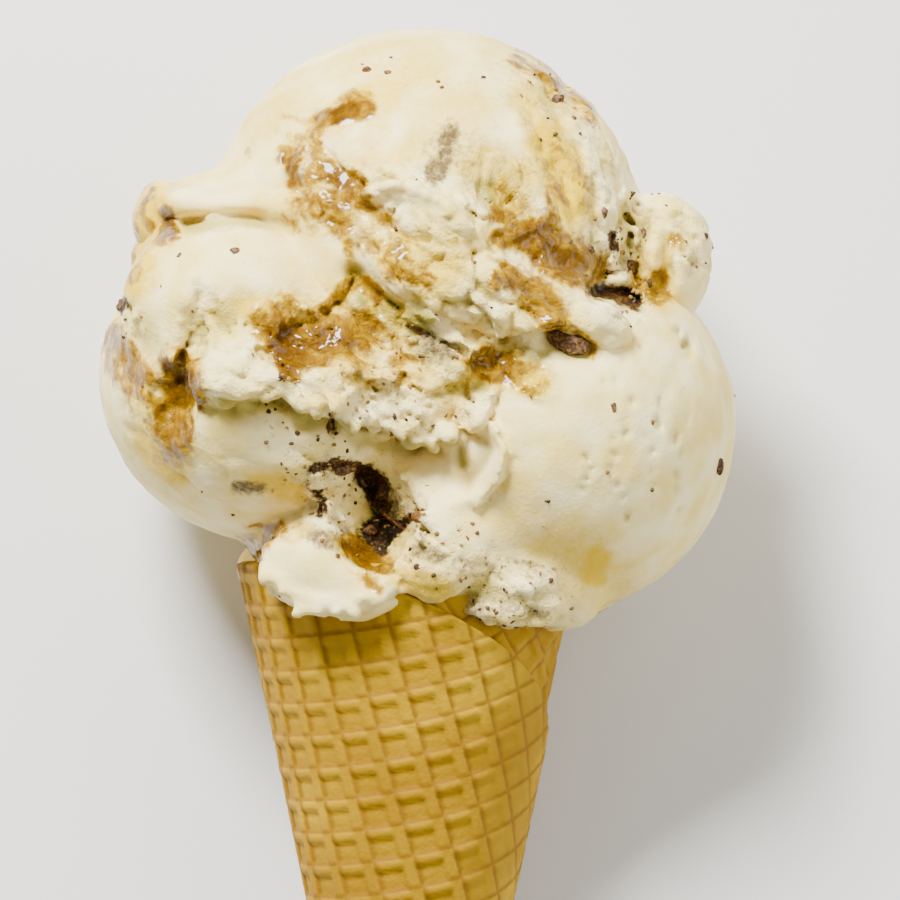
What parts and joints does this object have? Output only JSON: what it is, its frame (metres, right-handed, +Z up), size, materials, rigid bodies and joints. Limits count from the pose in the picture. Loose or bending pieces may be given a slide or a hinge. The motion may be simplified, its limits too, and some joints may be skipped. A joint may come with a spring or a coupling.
{
  "type": "ice cream cone",
  "caption": "Scoops of vanilla ice cream with caramel and cookie bits on a rolled sugar cone, lying on its side on a small flat spot",
  "frame": {"origin": "the middle of the flat spot on the back of the lower scoop, on which the cone lies, in the plane of the floor", "axes": "+Z up from the floor, +Y along the cone from its tip towards the scoops as seen from above, +X to the right of the picture"},
  "size_m": [0.0981, 0.1894, 0.076],
  "materials": {
    "wafer": "baked sugar wafer, golden, dry and slightly satin, with an embossed square lattice",
    "cream_lower": "vanilla ice cream, soft sheen, with caramel streaks and cookie bits",
    "cream_upper": "vanilla ice cream, soft sheen, with caramel streaks and cookie bits"
  },
  "bodies": {
    "root": {"wafer_cone": "wafer", "lower_scoop": "cream_lower", "upper_scoop": "cream_upper"}
  },
  "joints": []
}
